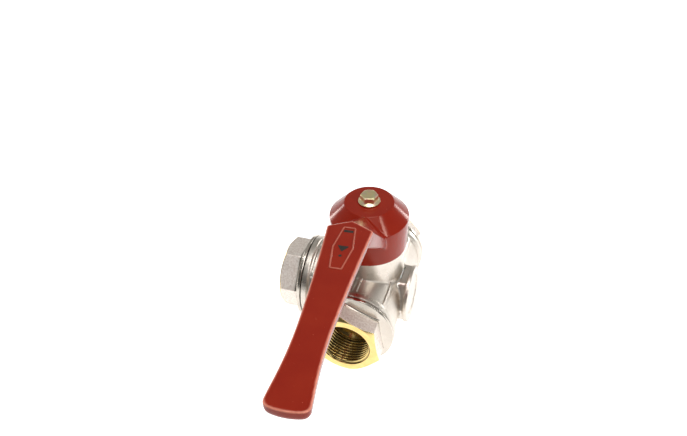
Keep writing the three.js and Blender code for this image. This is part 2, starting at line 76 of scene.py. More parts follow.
FLANGE_START = 32.95
RIM_END = 34.65
SHOULDER_END = 36.5
ROOT_FILLET = 0.7                # between the flange's cone and the hexagon
PORT_REACH = 46.5
HEX_HALF = 16.7
HEX_CORNER = 2 * HEX_HALF / math.sqrt(3)
NOSE_RADIUS = 15.9
NOSE_REACH = 17.2
SEAT_RADIUS = 13.9
SEAT_BACK = 18.5
SEAT_LIP = 11.2
SEAT_FACE = 16.66               # distance of the seats' 45 degree face from the ball's centre
SEAL_ALONG = 31.55
SEAL_WIRE = 0.97
FLOW_RADIUS = 8.25
FLOW_END = 27.2                 # the flow bore opens towards the thread from here
THREAD_START = 29.5
THREAD_MINOR = 12.06
THREAD_MAJOR = 13.22
THREAD_MOUTH = 13.4
THREAD_PITCH = 1.814
LINER_RADIUS = 13.5             # outside of the bare brass lining in the plated connector

BOSS_HALF = 13.5
BOSS_DISC_START = 22.4
BOSS_REACH = 24.4
BOSS_DISC_RADIUS = 15.5
BOSS_RECESS_RADIUS = 10.5

NECK_RADIUS = 17.9
NECK_TOP = 31.3
GLAND_BOSS_RADIUS = 11.5
GLAND_BOSS_TOP = 38.0
STEM_BORE = 5.3
STEM_SHOULDER_RADIUS = 8.4      # room for the stem's shoulder, under the neck
STEM_SHOULDER_TOP = 21.1
PACKING_BOX_RADIUS = 8.0
PACKING_BOX_BOTTOM = 30.0

BALL_RADIUS = 16.2
BALL_BORE = 8.0
TANG_SLOT_HALF = 2.8
TANG_SLOT_BOTTOM = 12.0

SKIRT_BOTTOM = 31.9
SKIRT_RADIUS = 19.7
RIM_HEIGHT = 50.25
RIM_RADIUS = 20.5
CAP_TOP = 58.5
CAP_TOP_RADIUS = 12.66
CAP_CEILING = 54.0
DRIVE_BOSS_RADIUS = 8.5
DRIVE_BOSS_BOTTOM = 44.5
DRIVE_BOSS_TOP = 56.5
SOCKET_HALF = 3.8               # square socket on the stem
SQUARE_BOTTOM = 42
SQUARE_TOP = 54.8
BOLT_HOLE_RADIUS = 2.8
BLADE_TOP = 75.0
BLADE_BOTTOM = 68.8
BLADE_APEX = 36.5
BLADE_TIP = 147.0
BLADE_CROWN = 0.022             # fall of the blade's top from its centre line, per millimetre
# half widths of the blade at distances from the stem's axis
BLADE_WIDTHS = [(41.7, 10.8), (49, 10.2), (62, 9.3), (75, 8.5), (90, 7.75), (102, 7.3), (112, 7.2),
                (122, 7.5), (131, 8.15), (138, 8.85), (143, 9.3), (150, 10.0)]

STOP_INNER = 13.0
STOP_OUTER = 16.8
STOP_TOP = 36.0
STOP_HALF_ANGLE = 7.0           # degrees
STOP_CENTRES = (108.75, -11.25)  # degrees about Z

BOLT_TOP = 63.2
BOLT_SEAT = 58.8
BOLT_END = 45.5
BOLT_HALF = 4.0
BOLT_TOP_RADIUS = 3.6           # flat of the head inside its chamfer
BOLT_FLANGE_RADIUS = 5.6
BOLT_FLANGE_TOP_RADIUS = 4.2
BOLT_SHANK_RADIUS = 2.5

LEVER_TURN = math.radians(3.75)
BOLT_TURN = math.radians(15.75)
PORT_TURNS = {"front": math.pi, "left": math.pi / 2, "back": 0.0}
CLOCKING = {"front": math.radians(38.5), "left": math.radians(9), "back": math.radians(-17)}
BLIND_TURN = -math.pi / 2

FRAME_WIDTH = 0.95
FRAME_HEIGHT = 0.55
FILL_HEIGHT = 0.09              # black fills of the blade's mark

# grid cells of the sampled solids; the body's keeps its mesh under 200,000 faces
BODY_CELL = 0.56
CONNECTOR_CELL = 0.42
BALL_CELL = 0.5
LEVER_CELL = 0.48
BOLT_CELL = 0.16

CAMERA_PLACE = Vector((88.70, -313.24, 310.67))   # from the ball's centre
CAMERA_ANGLES = (51.087, 1.2, 17.177)
CAMERA_LENS = 42.52

# ---------------------------------------------------------------- fields


def union(a, b, fillet):
    """Both solids together, with a fillet of about that size where they meet."""
    blend = np.clip(0.5 + 0.5 * (b - a) / fillet, 0, 1)
    return b + (a - b) * blend - fillet * blend * (1 - blend)


def common(a, b, rounding):
    """What two solids share, with its edges rounded."""
    return -union(-a, -b, rounding)


def without(a, b, rounding):
    return common(a, -b, rounding)


def inset(points, distance):
    """Closed outline moved inwards by a distance."""
    points = np.array(points, float)
    after = np.roll(points, -1, 0) - points
    area = np.sum(points[:, 0] * np.roll(points[:, 1], -1) - points[:, 1] * np.roll(points[:, 0], -1))
    normal = np.stack([-after[:, 1], after[:, 0]], 1) / np.linalg.norm(after, axis=1)[:, None]
    normal *= math.copysign(1, area)
    before = np.roll(normal, 1, 0)
    mitre = (normal + before) / (1 + np.sum(normal * before, axis=1))[:, None]
    return points + mitre * distance


def outline(u, v, points):
    """Field of a closed flat outline."""
    nearest = np.full(u.shape, np.inf)
    inside = np.zeros(u.shape, bool)
    for (ax, ay), (bx, by) in zip(points, np.roll(points, -1, 0)):
        ex, ey = bx - ax, by - ay
        along = np.clip(((u - ax) * ex + (v - ay) * ey) / (ex * ex + ey * ey), 0, 1)
        nearest = np.minimum(nearest, (u - ax - ex * along) ** 2 + (v - ay - ey * along) ** 2)
        if ey != 0:
            inside ^= ((ay > v) != (by > v)) & (u < ax + ex * (v - ay) / ey)
    return np.sqrt(nearest) * np.where(inside, -1, 1)


def turned(profile, along, radius, rounding):
    """Field of a solid turned from (position along its axis, radius) points."""
    return outline(along, radius, inset(profile, rounding)) - rounding


def rod(radius, start, end):
    return [(start, AXIS), (end, AXIS), (end, radius), (start, radius)]


def hexagon(u, v, half, rounding):
    """Field of an endless hexagonal bar with two flats square to v."""
    slant = math.sqrt(0.75)
    flats = (np.abs(v), np.abs(u * slant + v / 2), np.abs(u * slant - v / 2))
    return common(common(flats[0], flats[1], rounding), flats[2], rounding) - half


def on_port(x, y, turn):
    """Positions along and across a port that is drawn along +Y and turned about Z."""
    cos, sin = math.cos(turn), math.sin(turn)
    return y * cos - x * sin, x * cos + y * sin


def sector(x, y, z, inner, outer, bottom, top, centre):
    """Field of a block of a ring about Z."""
    radius = np.hypot(x, y)
    turn = (np.degrees(np.arctan2(y, x)) - centre + 180) % 360 - 180
    side = np.radians(np.abs(turn) - STOP_HALF_ANGLE) * np.minimum(radius, inner)
    return np.maximum.reduce([radius - outer, inner - radius, z - top, bottom - z, side])


# ---------------------------------------------------------------- meshes from fields

BLOCK = 6                       # grid cells along the side of a block that is skipped or sampled


def sample(field, low, cell, blocks):
    """Grid of field values; a block far from the surface holds the value of its centre."""
    centres = [low[i] + cell * BLOCK * (np.arange(blocks[i]) + 0.5) for i in range(3)]
    coarse = field(*np.meshgrid(*centres, indexing="ij"))
    near = np.nonzero(np.abs(coarse) < cell * BLOCK * 1.1)
    values = np.empty((blocks[0], BLOCK, blocks[1], BLOCK, blocks[2], BLOCK))
    by_block = values.transpose(0, 2, 4, 1, 3, 5)
    by_block[:] = coarse[..., None, None, None]
    steps = np.arange(BLOCK) * cell
    offsets = np.meshgrid(steps, steps, steps, indexing="ij")
    points = [low[i] + cell * BLOCK * near[i][:, None, None, None] + offsets[i] for i in range(3)]
    by_block[near] = field(*points)
    return values.reshape([count * BLOCK for count in blocks])


def gradient(field, points):
    """Unit normals of the surface at its points."""
    reach = 0.02
    slopes = []
    for axis in range(3):
        shift = np.zeros(3)
        shift[axis] = reach
        slopes.append(field(*(points + shift).T) - field(*(points - shift).T))
    slopes = np.stack(slopes, 1) / (2 * reach)
    return slopes / np.maximum(np.linalg.norm(slopes, axis=1), 1e-9)[:, None]


def surface_net(field, low, high, cell):
    """Vertices, quads and normals of the surface where the field is zero."""
    low = np.array(low, float) - 2 * cell
    blocks = np.ceil((np.array(high, float) + 2 * cell - low) / (cell * BLOCK)).astype(int)
    values = sample(field, low, cell, blocks)
    inside = values < 0
    corners = [(i, j, k) for i in (0, 1) for j in (0, 1) for k in (0, 1)]
    size = np.array(values.shape) - 1
    view = lambda grid, c: grid[c[0]:c[0] + size[0], c[1]:c[1] + size[1], c[2]:c[2] + size[2]]
    filled = sum(view(inside, corner).astype(np.int8) for corner in corners)
    cells = np.nonzero((filled > 0) & (filled < 8))
    index = np.full(size, -1)
    index[cells] = np.arange(len(cells[0]))

    total = np.zeros((len(cells[0]), 3))
    crossings = np.zeros(len(cells[0]))
    for start in corners:
        for axis in range(3):
            if start[axis]:
                continue
            end = tuple(1 if i == axis else start[i] for i in range(3))
            a = values[tuple(cells[i] + start[i] for i in range(3))]
            b = values[tuple(cells[i] + end[i] for i in range(3))]
            crossed = (a < 0) != (b < 0)
            share = np.where(crossed, a / np.where(crossed, a - b, 1), 0)
            at = np.array(start, float) + share[:, None] * (np.arange(3) == axis)
            total += at * crossed[:, None]
            crossings += crossed
    points = low + cell * (np.stack(cells, 1) + total / crossings[:, None])
    for _ in range(3):
        step = field(*points.T)[:, None] * gradient(field, points)
        points -= np.clip(step, -0.6 * cell, 0.6 * cell)

    quads = []
    for axis in range(3):
        order = (axis, (axis + 1) % 3, (axis + 2) % 3)
        solid, ids = inside.transpose(order), index.transpose(order)
        here, there = solid[:-1, 1:-1, 1:-1], solid[1:, 1:-1, 1:-1]
        i, j, k = np.nonzero(here != there)
        out = here[i, j, k]
        ring = np.stack([ids[i, j, k], ids[i, j + 1, k], ids[i, j + 1, k + 1], ids[i, j, k + 1]], 1)
        quads.append(np.where(out[:, None], ring, ring[:, ::-1]))
    return points, np.concatenate(quads), gradient(field, points)


def piece(name, points, faces, normals, body, slot, material, replaces=(), turn=0.0, clock=0.0):
    """Object from a mesh drawn along +Y: clocked about Y, turned about Z and set about the ball's centre."""
    place = np.array(Matrix.Rotation(turn, 3, "Z") @ Matrix.Rotation(clock, 3, "Y"))
    mesh = bpy.data.meshes.new(name)
    mesh.from_pydata(((points @ place.T) * MM + np.array(BALL_CENTRE)).tolist(), [], faces.tolist())
    mesh.update()
    mesh.shade_smooth()
    if normals is not None:
        mesh.normals_split_custom_set_from_vertices((normals @ place.T).tolist())
    mesh.materials.append(material)
    made = bpy.data.objects.new(name, mesh)
    bpy.context.scene.collection.objects.link(made)
    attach(made, body)
    if replaces:
        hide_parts(*replaces)
    return made


def mask(made, name, values):
    """Float on every vertex that the material reads."""
    made.data.attributes.new(name, "FLOAT", "POINT").data.foreach_set("value", values.astype(np.float32))


def lathe(profile, segments):
    """Vertices and quads of a closed profile of (along, radius) points turned about +Y."""
    profile = np.array(profile, float)
    turns = np.arange(segments) * 2 * math.pi / segments
    along = np.repeat(profile[:, 0][None], segments, 0)
    across = profile[:, 1][None] * np.cos(turns)[:, None]
    up = profile[:, 1][None] * np.sin(turns)[:, None]
    return np.stack([across, along, up], 2).reshape(-1, 3), wrap(segments, len(profile))


def wrap(rows, columns):
    """Quads of a grid of points that closes on itself both ways."""
    row, column = np.meshgrid(np.arange(rows), np.arange(columns), indexing="ij")
    at = lambda r, c: (r % rows) * columns + c % columns
    quads = [at(row, column), at(row, column + 1), at(row + 1, column + 1), at(row + 1, column)]
    return np.stack([q.ravel() for q in quads], 1)


# ---------------------------------------------------------------- body


def barrel(x, y, z, turn):
    """Port barrel with its collar and the raised frame on top."""
    along, across = on_port(x, y, turn)
    radius = np.hypot(across, z)
    shell = turned([(0, AXIS), (JOINT_REACH, AXIS), (JOINT_REACH, COLLAR_RADIUS),
                    (COLLAR_START, COLLAR_RADIUS), (COLLAR_START - 0.9, BARREL_RADIUS),
                    (0, BARREL_RADIUS)], along, radius, 0.35)
    saddle = common(radius - SADDLE_RADIUS, np.abs(across) - PANEL_HALF_WIDTH - 1.3, 0.4)
    saddle = common(common(saddle, along - PANEL_REACH - 1.0, 0.4), -z, 0.4)
    return union(shell, np.maximum(saddle, -along), 0.5)


def panel(x, y, z, turn):
    """The two shallow recesses on top of a barrel, either side of its rib."""
    along, across = on_port(x, y, turn)
    corner = 2.0
    u = np.abs(across) - PANEL_HALF_WIDTH + corner
    v = along - PANEL_REACH + corner
    plan = np.hypot(np.maximum(u, 0), np.maximum(v, 0)) + np.minimum(np.maximum(u, v), 0) - corner
    plan = common(plan, RIB_HALF_WIDTH - np.abs(across), 0.6)
    floor = PANEL_RADIUS - np.hypot(across, z)
    return np.maximum(common(plan, floor, 0.35), np.maximum(-z, -along))


def blind_boss(x, y, z):
    radius = np.hypot(y, z)
    bar = common(hexagon(y, z, BOSS_HALF, 1.2), x - BOSS_DISC_START - 0.3, 0.3)
    bar = np.maximum(bar, 8 - x)
    disc = turned(rod(BOSS_DISC_RADIUS, BOSS_DISC_START, BOSS_REACH), x, radius, 0.35)
    recess = turned(rod(BOSS_RECESS_RADIUS, BOSS_REACH - 0.4, BOSS_REACH + 2), x, radius, 0.1)
    return without(union(bar, disc, 0.7), recess, 0.25)


def port_hollow(x, y, z, turn):
    along, across = on_port(x, y, turn)
    return turned([(0, AXIS), (JOINT_REACH + 3, AXIS), (JOINT_REACH + 3, SEAL_POCKET_RADIUS),
                   (SEAL_POCKET_BOTTOM, SEAL_POCKET_RADIUS), (SEAL_POCKET_BOTTOM, SOCKET_RADIUS),
                   (SOCKET_BOTTOM, SOCKET_RADIUS), (SOCKET_BOTTOM, PORT_WAY_RADIUS), (0, PORT_WAY_RADIUS)],
                  along, np.hypot(across, z), 0.1)


def valve_body(x, y, z):
    radius = np.hypot(x, y)
    solid = np.sqrt(radius ** 2 + z ** 2) - CORE_RADIUS
    for turn in PORT_TURNS.values():
        solid = union(solid, barrel(x, y, z, turn), 2.2)
    for turn in PORT_TURNS.values():
        solid = without(solid, panel(x, y, z, turn), 0.25)
    neck = turned([(0, AXIS), (GLAND_BOSS_TOP, AXIS), (GLAND_BOSS_TOP, GLAND_BOSS_RADIUS),
                   (NECK_TOP, GLAND_BOSS_RADIUS), (NECK_TOP, NECK_RADIUS), (0, NECK_RADIUS)], z, radius, 0.3)
    solid = union(solid, neck, 0.9)
    for centre in STOP_CENTRES:
        solid = np.minimum(solid, sector(x, y, z, STOP_INNER, STOP_OUTER, NECK_TOP - 1, STOP_TOP, centre))
    solid = union(solid, blind_boss(x, y, z), 1.1)

    inside, above = 8, GLAND_BOSS_TOP + 4
    stem_way = turned([(inside, AXIS), (above, AXIS), (above, PACKING_BOX_RADIUS),
                       (PACKING_BOX_BOTTOM, PACKING_BOX_RADIUS), (PACKING_BOX_BOTTOM, STEM_BORE),
                       (STEM_SHOULDER_TOP, STEM_BORE), (STEM_SHOULDER_TOP, STEM_SHOULDER_RADIUS),
                       (inside, STEM_SHOULDER_RADIUS)], z, radius, 0.1)
    blind_pocket = turned(rod(SEAT_RADIUS + GAP, 0, SEAT_BACK + GAP), x, np.hypot(y, z), 0.1)
    hollow = np.minimum(np.sqrt(radius ** 2 + z ** 2) - CHAMBER_RADIUS, np.minimum(stem_way, blind_pocket))
    for turn in PORT_TURNS.values():
        hollow = np.minimum(hollow, port_hollow(x, y, z, turn))
    solid = without(solid, hollow, 0.3)
    return common(solid, PAD_LEVEL - z, 0.3)


# ---------------------------------------------------------------- connectors


def connector(x, y, z):
    """Plated outside of an end connector along +Y."""
    radius = np.hypot(x, z)
    flange = turned([(NOSE_REACH, AXIS), (SHOULDER_END, AXIS), (SHOULDER_END, HEX_HALF),
                     (RIM_END, COLLAR_RADIUS), (FLANGE_START, COLLAR_RADIUS),
                     (FLANGE_START, SOCKET_RADIUS - GAP),
                     (SOCKET_BOTTOM + GAP, SOCKET_RADIUS - GAP), (SOCKET_BOTTOM + GAP, NOSE_RADIUS),
                     (NOSE_REACH, NOSE_RADIUS)], y, radius, 0.25)
    bar = np.maximum(hexagon(x, z, HEX_HALF, 0.35), SOCKET_BOTTOM + 2 - y)
    bar = common(bar, chamfer(y, radius) + 0.12, 0.2)
    bore = turned([(10, AXIS), (50, AXIS), (50, LINER_RADIUS + 0.05), (29.9, LINER_RADIUS + 0.05),
                   (FLOW_END, FLOW_RADIUS + 0.4), (SEAT_BACK + GAP, FLOW_RADIUS + 0.4),
                   (SEAT_BACK + GAP, SEAT_RADIUS + GAP), (10, SEAT_RADIUS + GAP)], y, radius, 0.05)
    return without(union(flange, bar, ROOT_FILLET), bore, 0.1)


def chamfer(y, radius):
    """Field of the end face and the 30 degree chamfer on the hexagon's corners."""
    slope = math.radians(30)
    cone = (y - PORT_REACH) * math.cos(slope) + (radius - HEX_HALF) * math.sin(slope)
    return np.maximum(cone, y - PORT_REACH)


def thread_radius(along, turns):
    """Radius of the parallel pipe thread where it is at a place along the axis and a share of a turn."""
    phase = (along / THREAD_PITCH - turns) % 1
    ridge = np.clip(2.2 * (np.abs(phase - 0.5) * 2) - 0.6, 0, 1)
    ridge = ridge * ridge * (3 - 2 * ridge)
    fade = np.clip((along - THREAD_START) / 2, 0, 1)
    return THREAD_MAJOR - (THREAD_MAJOR - THREAD_MINOR) * (1 - (1 - ridge) * fade)


def liner():
    """Bare brass inside of a connector: flow bore, pipe thread, end face and the hexagon's chamfer."""
    segments = 288
    inner = [(SEAT_BACK + GAP, FLOW_RADIUS), (19.5, FLOW_RADIUS),
             (26.6, FLOW_RADIUS), (27.3, FLOW_RADIUS + 0.1)]
    threads = np.arange(THREAD_START, PORT_REACH - 0.2, THREAD_PITCH / 12)
    countersink = THREAD_MOUTH + 0.05 - (PORT_REACH - threads)
    mouth = [(PORT_REACH - 0.1, THREAD_MOUTH - 0.04), (PORT_REACH - 0.03, THREAD_MOUTH + 0.03),
             (PORT_REACH, THREAD_MOUTH + 0.16),
             (PORT_REACH, 14.7), (PORT_REACH, HEX_HALF - 0.2), (PORT_REACH - 0.03, HEX_HALF - 0.03)]
    outer = [(PORT_REACH - 2.3, LINER_RADIUS), (30.0, LINER_RADIUS), (FLOW_END, FLOW_RADIUS + 0.35),
             (SEAT_BACK + GAP, FLOW_RADIUS + 0.35)]
    turns = np.arange(segments) / segments
    rows = []
    for turn in turns:
        angle = turn * 2 * math.pi
        off_flat = (angle + math.pi / 6 + math.pi / 2) % (math.pi / 3) - math.pi / 6
        edge = min(HEX_HALF / math.cos(off_flat), HEX_CORNER - 0.06)
        fall = (edge - HEX_HALF) * math.tan(math.radians(30))
        ridge = np.maximum(thread_radius(threads, turn), countersink)
        rim = [(PORT_REACH - fall * share - 0.02, HEX_HALF + (edge - HEX_HALF) * share)
               for share in (0.15, 0.5, 0.9)]
        lip = [(PORT_REACH - fall - 0.06, edge + 0.015), (PORT_REACH - fall - 0.16, edge + 0.02),
               (PORT_REACH - fall - 0.3, edge - 0.25)]
        rows.append(inner + list(zip(threads, ridge)) + mouth + rim + lip + outer)
    rows = np.array(rows)
    angles = turns[:, None] * 2 * math.pi
    points = np.stack([rows[:, :, 1] * np.cos(angles), rows[:, :, 0], rows[:, :, 1] * np.sin(angles)], 2)
    return points.reshape(-1, 3), wrap(segments, rows.shape[1])


# ---------------------------------------------------------------- ball, lever and bolt


def ball(x, y, z):
    front = np.maximum(np.hypot(x, z) - BALL_BORE, y)
    left = np.maximum(np.hypot(y, z) - BALL_BORE, x)
    slot = np.maximum(np.abs(x) - TANG_SLOT_HALF, TANG_SLOT_BOTTOM - z)
    sphere = np.sqrt(x * x + y * y + z * z)
    bores = np.minimum(union(front, left, 1.0), sphere - BALL_BORE)
    return without(without(sphere - BALL_RADIUS, bores, 0.8), slot, 0.4)


def smooth_curve(points, steps=8):
    """Points of a smooth curve through the given ones."""
    points = np.array([points[0]] + list(points) + [points[-1]], float)
    dense = []
    for a, b, c, d in zip(points, points[1:], points[2:], points[3:]):
        for t in np.arange(steps) / steps:
            dense.append(0.5 * (2 * b + (c - a) * t + (2 * a - 5 * b + 4 * c - d) * t ** 2
                                + (3 * b - a - 3 * c + d) * t ** 3))
    return np.array(dense + [points[-1]])


BLADE_EDGE = smooth_curve(BLADE_WIDTHS)


def blade_plan(x, y):
    """Field of the blade's outline from above: a pointed hub end and a rounded tip."""
    reach, across = -y, np.abs(x)
    sides = across - np.interp(reach, BLADE_EDGE[:, 0], BLADE_EDGE[:, 1])
    tip = reach - BLADE_TIP + across ** 2 / 50
    corner_reach, corner_half = BLADE_WIDTHS[0]
    length = math.hypot(corner_reach - BLADE_APEX, corner_half)
    back = across * (corner_reach - BLADE_APEX) / length - (reach - BLADE_APEX) * corner_half / length
    return common(common(sides, tip, 3.2), back, 0.5)


def blade_top(x):
    return BLADE_TOP - BLADE_CROWN * np.sqrt(x ** 2 + 0.5)


def blade(x, y, z):
    return common(common(blade_plan(x, y), z - blade_top(x), 0.8), BLADE_BOTTOM - z, 3.6)


def arm_planes():
    """Planes round the gabled arm that climbs from the hub cap to the blade."""
    top = BLADE_TOP - 0.5
    points = [(0, -8, 55.28), (0, -BLADE_APEX, top)]
    for side in (-1, 1):
        for height, foot in ((top, 44.7), (BLADE_BOTTOM + 0.3, 39.1)):
            points += [(side * 12.5, -12, foot), (side * 10.3, -41.7, height), (side * 8.9, -47.7, height)]
    hull = bmesh.new()
    for point in points:
        hull.verts.new(point)
    bmesh.ops.convex_hull(hull, input=hull.verts)
    bmesh.ops.dissolve_limit(hull, angle_limit=0.02, verts=hull.verts, edges=hull.edges)
    planes = [(np.array(face.normal), float(face.normal.dot(face.verts[0].co))) for face in hull.faces]
    hull.free()
    return planes


ARM_PLANES = arm_planes()


def lever(x, y, z):
    radius = np.hypot(x, y)
    cap = turned([(SKIRT_BOTTOM, AXIS), (CAP_TOP, AXIS), (CAP_TOP, CAP_TOP_RADIUS), (RIM_HEIGHT, RIM_RADIUS),
                  (SKIRT_BOTTOM, SKIRT_RADIUS)], z, radius, 0.45)
    arm = None
    for (nx, ny, nz), offset in ARM_PLANES:
        side = nx * x + ny * y + nz * z - offset
        arm = side if arm is None else common(arm, side, 0.5)
    solid = union(union(cap, arm, 0.9), blade(x, y, z), 0.5)
    hollow = turned([(SKIRT_BOTTOM - 3, AXIS), (CAP_CEILING, AXIS), (CAP_CEILING, CAP_TOP_RADIUS),
                     (RIM_HEIGHT - 2, RIM_RADIUS - 2.8),
                     (SKIRT_BOTTOM - 3, SKIRT_RADIUS - 2.3)], z, radius, 0.4)
    solid = without(solid, hollow, 0.4)
    boss = turned(rod(DRIVE_BOSS_RADIUS, DRIVE_BOSS_BOTTOM, DRIVE_BOSS_TOP), z, radius, 0.3)
    rib = sector(x, y, z, STOP_INNER + 0.2, SKIRT_RADIUS - 1.5, SKIRT_BOTTOM + 0.3, RIM_HEIGHT - 1, 90)
    solid = union(solid, np.minimum(boss, rib), 0.6)
    socket = np.maximum(np.maximum(np.abs(x), np.abs(y)) - SOCKET_HALF,
                        np.maximum(z - SQUARE_TOP, SQUARE_BOTTOM - z))
    bolt_hole = np.maximum(radius - BOLT_HOLE_RADIUS, 53 - z)
    return without(solid, np.minimum(socket, bolt_hole), 0.3)


def bolt(x, y, z):
    """M5 flange bolt."""
    radius = np.hypot(x, y)
    flange = turned([(BOLT_END, AXIS), (BOLT_SEAT + 1.4, AXIS), (BOLT_SEAT + 1.4, BOLT_FLANGE_TOP_RADIUS),
                     (BOLT_SEAT + 0.5, BOLT_FLANGE_RADIUS), (BOLT_SEAT, BOLT_FLANGE_RADIUS),
                     (BOLT_SEAT, BOLT_SHANK_RADIUS), (BOLT_END, BOLT_SHANK_RADIUS)], z, radius, 0.12)
    slope = math.radians(30)
    cone = (z - BOLT_TOP) * math.cos(slope) + (radius - BOLT_TOP_RADIUS) * math.sin(slope)
    top = common(z - BOLT_TOP + 0.05, cone, 0.25)
    head = common(hexagon(x, y, BOLT_HALF, 0.2), top, 0.2)
    return union(flange, np.maximum(head, BOLT_SEAT + 0.3 - z), 0.35)


# ---------------------------------------------------------------- materials


class Finish:
    """A Principled material with helpers for procedural detail. Sizes are in millimetres."""

    def __init__(self, name, **fixed):
        self.material = bpy.data.materials.new(name)
        self.material.use_nodes = True
        self.tree = self.material.node_tree
        self.shader = self.tree.nodes["Principled BSDF"]
        self.place = self.tree.nodes.new("ShaderNodeTexCoord").outputs["Object"]
        for socket, value in fixed.items():
            self.shader.inputs[socket.replace("_", " ")].default_value = value

    def node(self, kind, inputs=(), **settings):
        made = self.tree.nodes.new(kind)
        for key, value in settings.items():
            setattr(made, key, value)
        for key, value in dict(inputs).items():
            if isinstance(value, bpy.types.NodeSocket):
                self.tree.links.new(value, made.inputs[key])
            else:
                made.inputs[key].default_value = value
        return made

    def stretched(self, scale):
        return self.node("ShaderNodeMapping", {"Vector": self.place, "Scale": scale}).outputs[0]

    def noise(self, size, detail=3.0, place=None):
        """Noise whose blots are about that many millimetres across."""
        inputs = {"Vector": place or self.place, "Scale": 1 / (size * MM), "Detail": detail}
        return self.node("ShaderNodeTexNoise", inputs).outputs["Fac"]

    def range(self, value, low, high, to_low, to_high):
        inputs = {0: value, 1: low, 2: high, 3: to_low, 4: to_high}
        return self.node("ShaderNodeMapRange", inputs).outputs[0]

    def times(self, a, b):
        return self.node("ShaderNodeMath", {0: a, 1: b}, operation="MULTIPLY").outputs[0]

    def plus(self, a, b):
        return self.node("ShaderNodeMath", {0: a, 1: b}, operation="ADD").outputs[0]

    def between(self, share, first, second):
        """Colour between two others."""
        inputs = {0: share, 6: first, 7: second}
        return self.node("ShaderNodeMix", inputs, data_type="RGBA").outputs[2]

    def attribute(self, name):
        return self.node("ShaderNodeAttribute", attribute_name=name).outputs["Fac"]

    def set(self, socket, value):
        self.tree.links.new(value, self.shader.inputs[socket])
        return self

    def bump(self, *layers):
        """Bump from (height, depth in millimetres) layers."""
        normal = None
        for height, depth in layers:
            inputs = {"Height": height, "Distance": depth * MM, "Strength": 1.0}
            if normal is not None:
                inputs["Normal"] = normal
            normal = self.node("ShaderNodeBump", inputs).outputs[0]
        return self.set("Normal", normal)


def rgba(red, green, blue):
    return (red, green, blue, 1.0)


def nickel():
    """Satin nickel on forged brass, with blasted hexagons and machined rings."""
    it = Finish("nickel_plate", Metallic=1.0)
    blasted, machined = it.attribute("blasted"), it.attribute("machined")
    clouds = it.noise(9, 3)
    colour = it.between(it.range(clouds, 0.35, 0.65, 0, 1), rgba(0.68, 0.63, 0.56), rgba(0.60, 0.545, 0.475))
    mottle = it.between(it.range(it.noise(0.9, 5), 0.36, 0.64, 0, 1),
                        rgba(1.0, 0.94, 0.88), rgba(0.82, 0.73, 0.66))
    colour = it.between(blasted, colour, mottle)
    it.set("Base Color", colour)
    rough = it.plus(it.range(it.noise(3.5, 4), 0.3, 0.7, 0.24, 0.34), it.times(blasted, 0.3))
    it.set("Roughness", it.plus(rough, it.times(machined, -0.14)))
    grain = it.times(it.noise(1.0, 5), it.plus(it.times(blasted, 6.0), 0.4))
    skin = it.noise(3.4, 3)
    rings = it.noise(0.3, 2, it.stretched((0.05, 0.05, 1)))
    return it.bump((grain, 0.035), (skin, 0.022), (it.times(rings, machined), 0.02)).material


def brass():
    it = Finish("bare_brass", Metallic=1.0)
    tarnish = it.range(it.noise(4, 4), 0.35, 0.7, 0, 1)
    colour = it.between(tarnish, rgba(0.88, 0.69, 0.29), rgba(0.82, 0.61, 0.23))
    # painted shade: dark brown mixed in at the thread's roots and deep inside the bore
    it.set("Base Color", it.between(it.attribute("painted_thread_shade"), colour, rgba(0.20, 0.13, 0.045)))
    it.set("Roughness", it.range(it.noise(1.2, 4), 0.3, 0.7, 0.15, 0.23))
    return it.bump((it.noise(0.8, 2), 0.0015)).material


def red_paint():
    """Semi-gloss enamel with a slight orange peel, a few specks and a painted pink highlight on sharp edges."""
    it = Finish("red_paint", IOR=1.42, Specular_Tint=rgba(1.0, 0.72, 0.6))
    clouds = it.range(it.noise(14, 3), 0.35, 0.65, 0, 1)
    colour = it.between(clouds, rgba(0.30, 0.018, 0.006), rgba(0.275, 0.014, 0.005))
    speck = it.range(it.noise(1.1, 2), 0.755, 0.775, 0, 1)
    colour = it.between(speck, colour, rgba(0.5, 0.08, 0.05))
    # painted highlight: pink mixed in where the edge mask marks the blade's edges and the frame's crest
    painted_edge_highlight = it.times(it.attribute("edge"), it.range(it.noise(2.5, 3), 0.3, 0.6, 0.75, 1))
    it.set("Base Color", it.between(painted_edge_highlight, colour, rgba(0.9, 0.34, 0.24)))
    it.set("Roughness", it.range(it.noise(5, 4), 0.3, 0.7, 0.13, 0.2))
    return it.bump((it.noise(2.4, 2), 0.012), (it.noise(0.5, 2), 0.003)).material


def mark_paint():
    it = Finish("mark_paint", IOR=1.45)
    it.set("Base Color", it.between(it.noise(0.8, 3), rgba(0.012, 0.010, 0.009), rgba(0.04, 0.032, 0.026)))
    it.set("Roughness", it.range(it.noise(0.6, 3), 0.3, 0.7, 0.3, 0.5))
    return it.bump((it.noise(0.4, 3), 0.02)).material


def yellow_zinc():
    """Yellow passivated zinc, which shifts between gold, green and rose."""
    it = Finish("yellow_zinc", Metallic=1.0)
    gold = it.between(it.range(it.noise(3.0, 3), 0.4, 0.6, 0, 1),
                      rgba(0.88, 0.74, 0.42), rgba(0.80, 0.76, 0.44))
    rose = it.range(it.noise(2.2, 3, it.stretched((1, 1.4, 1.2))), 0.5, 0.62, 0, 0.7)
    it.set("Base Color", it.between(rose, gold, rgba(0.85, 0.60, 0.52)))
    it.set("Roughness", it.range(it.noise(0.9, 4), 0.3, 0.7, 0.28, 0.4))
    return it.bump((it.noise(0.5, 3), 0.015)).material


def chrome():
    it = Finish("ball_chrome", Metallic=1.0)
    it.set("Base Color", it.between(it.noise(6, 3), rgba(0.80, 0.81, 0.82), rgba(0.72, 0.72, 0.72)))
    it.set("Roughness", it.range(it.noise(2, 4), 0.3, 0.7, 0.05, 0.14))
    return it.bump((it.noise(0.6, 2), 0.004)).material


